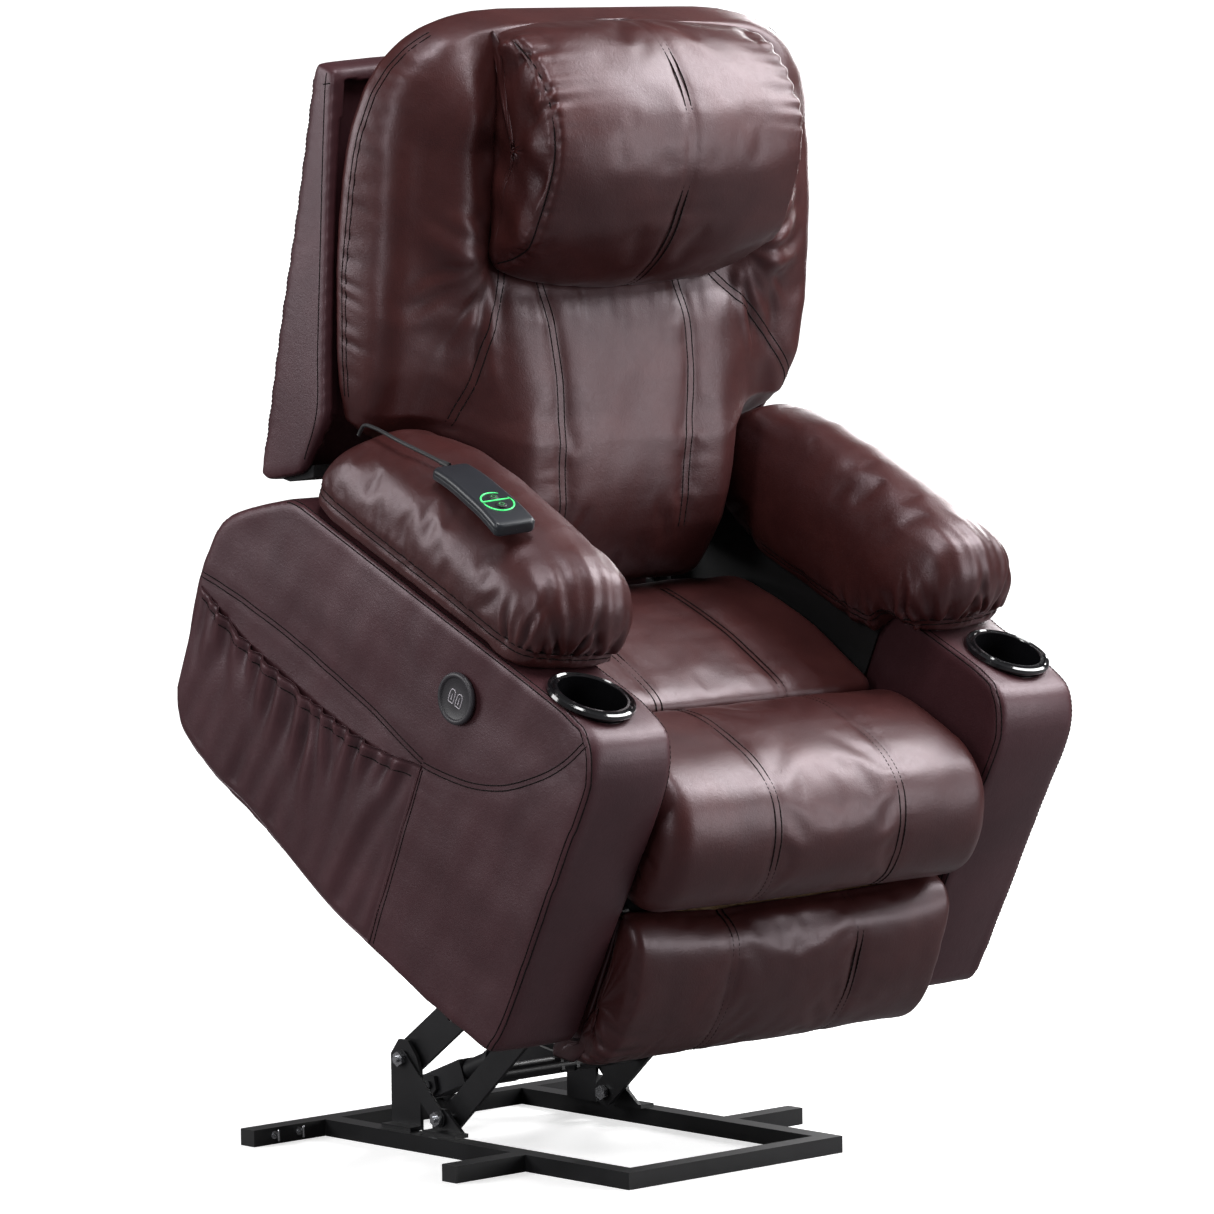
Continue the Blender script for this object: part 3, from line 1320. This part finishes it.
def build_back_shell():
    outline = round_corners(SHELL_OUTLINE[:, :2], SHELL_OUTLINE[:, 2], steps=4)
    shell = prism("back_shell_upholstery", outline, -SHELL_HALF, SHELL_HALF, bevel=6,
                  segments=3)
    shell = remesh(shell, voxel=7.0, passes=2)
    normals = shell.normals()
    verts = shell.verts
    verts[:, 2] += crown(verts[:, 0]) * smoothstep(verts[:, 2], 840, 915)
    waves = 0.7 * wobble3(verts, seed=181, span=240) + 0.06 * wobble3(verts, seed=182, span=60)
    shell.push(waves, normals)
    shell = subdivide(shell)

    rear = spline([(692, 440), (700, 500), (742, 710), (779, 890)], 60)
    rear_lines = [line_at(side * 369.0, rear) for side in (-1, 1)]
    x = np.linspace(-366, 366, 50)
    top_line = np.c_[x, np.full(50, 748), 914 + crown(x)]
    for line, seed in zip(rear_lines + [top_line], (183, 183, 184)):
        sew_seam(shell, line, depth=0.8, width=7.0, pucker=0.4, seed=seed, band=0.7)

    # recess the front so that the cushion sits inside the rim
    x, y, z = shell.verts.T
    front_y = np.interp(z, [447, 529, 600, 795, 919], [611, 597, 628, 703, 746])
    front = (y < front_y + 9) & (np.abs(x) < 357) & (z < 905)
    shell.verts[:, 1] = np.where(front, np.maximum(y, front_y + 8), y)
    dress(shell, PANEL, "backrest", "burgundy_panel_leather", "back_shell")

    border = spline([(612, 466), (613, 530), (642, 600), (680, 697), (717, 795), (748, 880),
                     (757, 908)], 60)
    for side in (-1, 1):
        for profile in (border, [(757, 893), (746, 899)]):
            stitch(shell, line_at(side * float(SHELL_HALF), profile), "backrest",
                   offsets=(0.0,))
    for line in rear_lines:
        stitch(shell, line, "backrest", offsets=(-3.0,))


def build_rear_panel():
    outline = [(668, 100), (684, 106), (699, 262), (695, 281), (684, 281), (675, 262)]
    panel = prism("rear_panel_upholstery", round_corners(outline, 5, steps=3), -266, 266,
                  bevel=4, segments=3)
    panel = remesh(panel, voxel=5.0, passes=2)
    verts = panel.verts
    panel.push(0.9 * wobble3(verts, seed=191, span=200)
               + 0.08 * wobble3(verts, seed=192, span=50))
    dress(panel, PANEL, "seat", "burgundy_panel_leather", "rear_panel")


# black cloth sheets: name, then the low and high corner of x, y and z
CLOTH_SHEETS = [
    # on the arms' inner faces beside the seat
    ("left_arm_inner_lining", (266.4, 267.8), (215, 574), (262, 428)),
    ("right_arm_inner_lining", (-267.8, -266.4), (215, 574), (262, 428)),
    # over the springs behind the seat cushion
    ("seat_deck_cloth", (-236, 236), (436, 562), (262.4, 263.8)),
    # under the front of the seat, behind the footrest
    ("front_dust_cloth", (-220, 220), (50, 51.4), (62, 264)),
]


def build_cloth_sheets():
    for name, (x0, x1), (y0, y1), (z0, z1) in CLOTH_SHEETS:
        outline = [(y0, z0), (y1, z0), (y1, z1), (y0, z1)]
        dress(prism(name, outline, x0, x1, bevel=0), CLOTH, "seat", "black_cloth",
              smooth=False)


def build_footrest_wraps():
    """Leather round the ends of the footrest board."""
    outline = [(1, -9), (19.6, -9), (20.4, 80), (20.0, 167), (1, 167)]
    for side, name in ((-1, "right"), (1, "left")):
        wrap = prism(name + "_footrest_edge_wrap", round_corners(outline, 4, steps=3),
                     250.6 * side, 261.4 * side, bevel=3.4, segments=3)
        wrap = remesh(wrap, voxel=3.2, passes=2)
        wrap.push(0.7 * wobble3(wrap.verts, seed=201, span=40))
        dress(wrap, HIDE, "footrest", "burgundy_leather")


# ------------------------------------------------------------------ handset
# local frame: x across, y along, z out of the key face
HANDSET_PLACE = (-368.0, 309.0, 566.5)
HANDSET_TURN = (-1, -8, -6.5)   # degrees about x, y, z
HANDSET_HALF = 76
HANDSET_ROUND = 7
RING_Y = -30.0
RING_Z = 16.75
# centre y, direction of the arrow, body, node
KEYS = [(-20.5, 1, "raise_button", "button_up"), (-39.5, -1, "lower_button", "button_down")]
KEY_PROFILE = [(5.9, 15.4), (6.3, 15.9), (6.3, 17.0), (5.9, 17.45), (4.4, 17.7)]  # radius, z
ARROW = [(-4.0, -0.6), (0, 3.9), (4.0, -0.6), (2.0, -0.6), (2.0, -3.4), (-2.0, -3.4),
         (-2.0, -0.6), (-4.0, -0.6)]


def place_handset(piece):
    turn = np.eye(3)
    for degrees, axis in zip(HANDSET_TURN, "XYZ"):
        a = math.radians(degrees)
        cos, sin = math.cos(a), math.sin(a)
        turn = np.array({
            "X": [[1, 0, 0], [0, cos, -sin], [0, sin, cos]],
            "Y": [[cos, 0, sin], [0, 1, 0], [-sin, 0, cos]],
            "Z": [[cos, -sin, 0], [sin, cos, 0], [0, 0, 1]],
        }[axis]) @ turn
    piece.verts = piece.verts @ turn.T + np.array(HANDSET_PLACE)
    return piece


def handset_arch(y):
    """The handset bends down towards both ends."""
    return -5.5 * (np.clip(np.abs(y) - 16, 0, 99) / 60.0) ** 2


def build_handset_body():
    """Rounded section with a parting groove round the middle, swept along y."""
    turn = np.linspace(0, math.pi / 2, 7)
    run = HANDSET_ROUND * (1 - np.cos(turn))
    shrink = HANDSET_ROUND * (1 - np.sin(turn))
    stations = np.concatenate([-HANDSET_HALF + run, np.linspace(-66, 66, 45),
                               HANDSET_HALF - run[::-1]])
    insets = np.concatenate([shrink, np.zeros(45), shrink[::-1]])
    rings = []
    for y, inset in zip(stations, insets):
        w = np.interp(y, [-HANDSET_HALF, HANDSET_HALF], [28, 24.5]) - inset
        low, high = 0.2 + inset * 0.35, 16.6 - inset * 0.35
        right = [(w - 2.5, low), (w, low + 3), (w, 8.3), (w - 0.5, 8.5), (w, 8.7),
                 (w, high - 3.2), (w - 3.6, high)]
        left = [(-x, z) for x, z in reversed(right)]
        ring = round_corners(left[-1:] + right + left[:-1], 2.4, steps=4)
        rings.append(np.c_[ring[:, 0], np.full(len(ring), y), ring[:, 1] + handset_arch(y)])
    shell = place_handset(loft("handset_shell", rings, cap=3))
    dress(shell, HANDSET, "seat", "handset_plastic", "handset_body")


def build_light_ring():
    """Glowing lines round the keys: an arc with its chord, and the facing arc."""
    def arc(start, end, count, centre_y):
        angle = np.radians(np.linspace(start, end, count))
        return np.c_[19.0 * np.cos(angle), centre_y + 18.2 * np.sin(angle)]

    upper = arc(8, 172, 40, 1.6)
    upper = upper[upper[:, 0] < 12][::-1][:30]
    chord = np.c_[np.linspace(-18.6, 18.6, 24), np.full(24, 2.2)][::-1]
    tubes = []
    for path in (np.vstack([chord, upper]), arc(176, 384, 52, -2.2)):
        x, y = path[:, 0], path[:, 1] + RING_Y
        radius = np.interp(np.linspace(0, 1, len(path)), [0, 0.12, 0.8, 1],
                           [0.5, 1.0, 1.0, 0.35])
        tubes.append(tube("line", np.c_[x, y, RING_Z + handset_arch(y)], radius, sides=8))
    ring = place_handset(merge("handset_light_ring", tubes))
    dress(ring, GLOW, "seat", "green_glow", "handset_ring")


def build_keys():
    for centre_y, way, body, node in KEYS:
        key = lathe(node + "_key", KEY_PROFILE, sides=36)
        key.verts[:, 1] += centre_y
        dress(place_handset(key), KEY, body, "handset_plastic", node)
        path = []
        for (xa, ya), (xb, yb) in zip(ARROW, ARROW[1:]):
            for t in np.linspace(0, 1, 5)[:-1]:
                path.append((xa + (xb - xa) * t, centre_y + way * (ya + (yb - ya) * t), 17.75))
        path.append(path[0])
        arrow = place_handset(tube(node + "_arrow", path, radius=0.33, sides=6))
        dress(arrow, GREEN_MARK, body, "green_glow")


def build_cord():
    """Cable from the handset back along the arm, with a ribbed sleeve at the handset."""
    u = np.linspace(0, 1, 60)
    run = np.c_[-359.5 - 38 * u + 45 * u * u, 386.0 + 170.6 * u - 11 * u * u,
                573 - 14 * u - 14 * u ** 3]
    run[:, 0] += 1.2 * np.sin(u * 9)
    tail = run[-1] + np.array([(2, 8, -6), (4, 13, -20)])
    path = spline(np.vstack([run[::6], run[-1:], tail]), 80)
    radius = np.interp(np.linspace(0, 1, 80), [0, 0.02, 0.07, 0.075, 1],
                       [3.9, 3.8, 3.1, 2.5, 2.3])
    radius[1:9:2] += 0.35
    dress(tube("handset_cord", path, radius, sides=14), CABLE, "seat", "cable_rubber",
          "handset_cable")


# ------------------------------------------------------------------ charging port
PORT_PROFILE = [  # radius, height
    (30.2, 0.0), (31.0, 0.7), (31.0, 3.4), (30.3, 5.0), (28.6, 5.8), (26.6, 5.9), (25.4, 5.2),
    (24.8, 3.8), (24.2, 3.5), (12.0, 3.5)]


def place_port(piece):
    """Local x right, y up, z out, set on the right arm's outer face."""
    x, y, z = piece.verts.T
    piece.verts = np.c_[-400.1 - z, 223 - x, 355 + y]
    return piece


def build_port():
    bezel = place_port(lathe("usb_port_bezel", PORT_PROFILE, sides=96))
    dress(bezel, PORT, "seat", "port_plastic", "usb_port")
    marks = []
    for x in (-6.6, 6.6):
        outline = [(x - 4.6, -8), (x + 4.6, -8), (x + 4.6, 5), (x + 2.4, 8.5), (x - 2.4, 8.5),
                   (x - 4.6, 5)]
        loop = round_corners(outline, 1.8, steps=3)
        loop = np.vstack([loop, loop[:1]])
        marks.append(tube("frame", np.c_[loop, np.full(len(loop), 3.6)], 0.55, sides=6))
        marks.append(tube("bar", [(x, -4.5, 3.6), (x, -1, 3.6), (x, 3.5, 3.6)], 0.8, sides=6))
    dress(place_port(merge("usb_port_marks", marks)), PORT_MARK, "seat", "port_plastic")


# ------------------------------------------------------------------ build
build_front_cushion()
build_rear_cushion()
build_foot_pad()
build_back_cushion()
build_headrest()
build_arm_pads()
build_arm(1, "left", seed=152)
build_arm(-1, "right", seed=151)
build_pocket()
build_back_shell()
build_rear_panel()
build_cloth_sheets()
build_footrest_wraps()
build_handset_body()
build_light_ring()
build_keys()
build_cord()
build_port()
for thread_body, (thread_verts, thread_faces) in threads.items():
    dress(Piece("thread_" + thread_body, thread_verts, thread_faces), THREAD, thread_body,
          "burgundy_leather")

# ------------------------------------------------------------------ finishes on the CAD nodes
CAD_FINISHES = [
    (STEEL, ["base_frame", "pivot_posts", "pivot_brackets", "actuator_tail_bracket",
             "front_lift_links", "link_cross_tube", "rear_lift_links", "seat_cross_tubes",
             "mechanism_side_plates", "recline_hinge_plates", "back_hinge_plates",
             "footrest_mount_plates", "footrest_swing_links", "footrest_carrier_links",
             "footrest_hinge_plates", "brace_bars"]),
    (BLACK_PLASTIC, ["rail_end_caps", "control_box"]),
    (ZINC, ["base_pivot_bolts", "cable_hooks", "upper_pivot_bolts", "recline_hinge_pins",
            "footrest_pivot_pins"]),
    (SPRING, ["seat_springs"]),
    (ACTUATOR_PLASTIC, ["actuator_housing", "actuator_motor"]),
    (ACTUATOR_STEEL, ["actuator_rod"]),
    (TIMBER, ["seat_rails", "right_arm_frame", "left_arm_frame", "back_frame",
              "footrest_board"]),
    (CLOTH, ["back_lining"]),
    (PORT, ["usb_port"]),
    (HANDSET, ["handset_body"]),
    (KEY, ["button_up", "button_down"]),
    (GLOW, ["handset_ring"]),
    (CABLE, ["handset_cable"]),
    (CUP, ["right_cup_holder", "left_cup_holder"]),
]


def finish_cad():
    for material, names in CAD_FINISHES:
        for name in names:
            obj = cad_nodes[name]
            if not obj.material_slots:
                obj.data.materials.append(material)
            for slot in obj.material_slots:
                slot.link = "OBJECT"
                slot.material = material
    for obj in cad_nodes.values():
        # guards nodes that carry no mesh to smooth or split
        try:
            obj.data.polygons.foreach_set("use_smooth", [True] * len(obj.data.polygons))
            obj.modifiers.new("edges", "EDGE_SPLIT").split_angle = math.radians(32)
        except Exception:
            pass


finish_cad()


# ------------------------------------------------------------------ stage, light, camera
def build_floor():
    """Paper sweep that rises behind the chair, square to the camera; metres."""
    flat_steps, turn_steps, radius, flat_end = 24, 16, 1.6, 3.0
    profile = [(-6 + 9.0 * i / flat_steps, 0.0) for i in range(flat_steps + 1)]
    for i in range(1, turn_steps + 1):
        a = math.pi / 2 * i / turn_steps
        profile.append((flat_end + radius * math.sin(a), radius * (1 - math.cos(a))))
    profile.append((4.6, 7.0))
    azimuth = CAMERA_AZIMUTH
    away = Vector((math.sin(-azimuth), math.cos(azimuth), 0))
    side = Vector((math.cos(azimuth), math.sin(azimuth), 0))
    verts = [away * distance + side * across + Vector((0, 0, z))
             for across in (-9, 9) for distance, z in profile]
    row = len(profile)
    faces = [(i, i + 1, row + i + 1, row + i) for i in range(row - 1)]
    obj = add_object("floor", verts, faces, smooth=True)
    obj.data.materials.append(floor_paper())


def build_world():
    """Dim to the chair, pale to the camera."""
    world = bpy.data.worlds.new("studio")
    bpy.context.scene.world = world
    world.use_nodes = True
    tree = world.node_tree
    background = tree.nodes["Background"]
    background.inputs[0].default_value = (1, 0.99, 1, 1)
    light_path = tree.nodes.new("ShaderNodeLightPath")
    strength = tree.nodes.new("ShaderNodeMapRange")
    strength.inputs["To Min"].default_value = 0.13
    strength.inputs["To Max"].default_value = 0.95
    tree.links.new(light_path.outputs["Is Camera Ray"], strength.inputs["Value"])
    tree.links.new(strength.outputs["Result"], background.inputs[1])


# name, location, target, width, height (None for a square), power; metres and watts
LIGHTS = [
    ("right_top_box", (2.5, -1.3, 3.1), (0, -0.1, 0.8), 2.1, 2.1, 190),
    ("right_front_box", (2.5, -3.3, 1.0), (0, 0, 0.95), 1.6, 1.7, 52),
    ("right_rear_box", (2.9, 1.5, 1.75), (0, 0, 0.8), 1.1, 1.3, 62),
    ("left_strip", (-3.3, -1.0, 1.9), (0, 0, 0.9), 0.55, 2.2, 30),
    ("left_rear_box", (-2.8, 2.2, 1.9), (0, 0, 0.6), 1.6, 1.8, 66),
    ("top_box", (-0.7, -1.2, 4.1), (0, 0, 0.8), 1.4, None, 78),
]


def build_lights():
    for name, location, target, width, height, power in LIGHTS:
        light = bpy.data.lights.new(name, "AREA")
        light.energy = power
        light.size = width
        if height:
            light.shape = "RECTANGLE"
            light.size_y = height
        obj = bpy.data.objects.new(name, light)
        obj.location = location
        aim = Vector(target) - Vector(location)
        obj.rotation_euler = aim.to_track_quat("-Z", "Y").to_euler()
        bpy.context.scene.collection.objects.link(obj)


CAMERA_ROLL = math.radians(-0.82)
CAMERA_BACK = Vector((-0.67076, -0.73640, 0.08829))     # from the scene towards the camera
CAMERA_PLACE = Vector((-5.3445, -5.9419 + BASE_Y / 1000.0, 1.3760))


def build_camera():
    data = bpy.data.cameras.new("cam")
    camera = bpy.data.objects.new("cam", data)
    bpy.context.scene.collection.objects.link(camera)
    back = CAMERA_BACK.normalized()
    level = Vector((math.cos(CAMERA_AZIMUTH), math.sin(CAMERA_AZIMUTH), 0))
    upright = back.cross(level)
    cos, sin = math.cos(CAMERA_ROLL), math.sin(CAMERA_ROLL)
    right = level * cos + upright * sin
    up = -level * sin + upright * cos
    turn = Matrix((right, up, back)).transposed()
    camera.matrix_world = Matrix.Translation(CAMERA_PLACE) @ turn.to_4x4()
    data.sensor_width = 36
    data.lens = 192.943987
    data.clip_end = 60
    bpy.context.scene.camera = camera


build_floor()
build_world()
bpy.context.scene.view_settings.view_transform = "Standard"
build_lights()
build_camera()
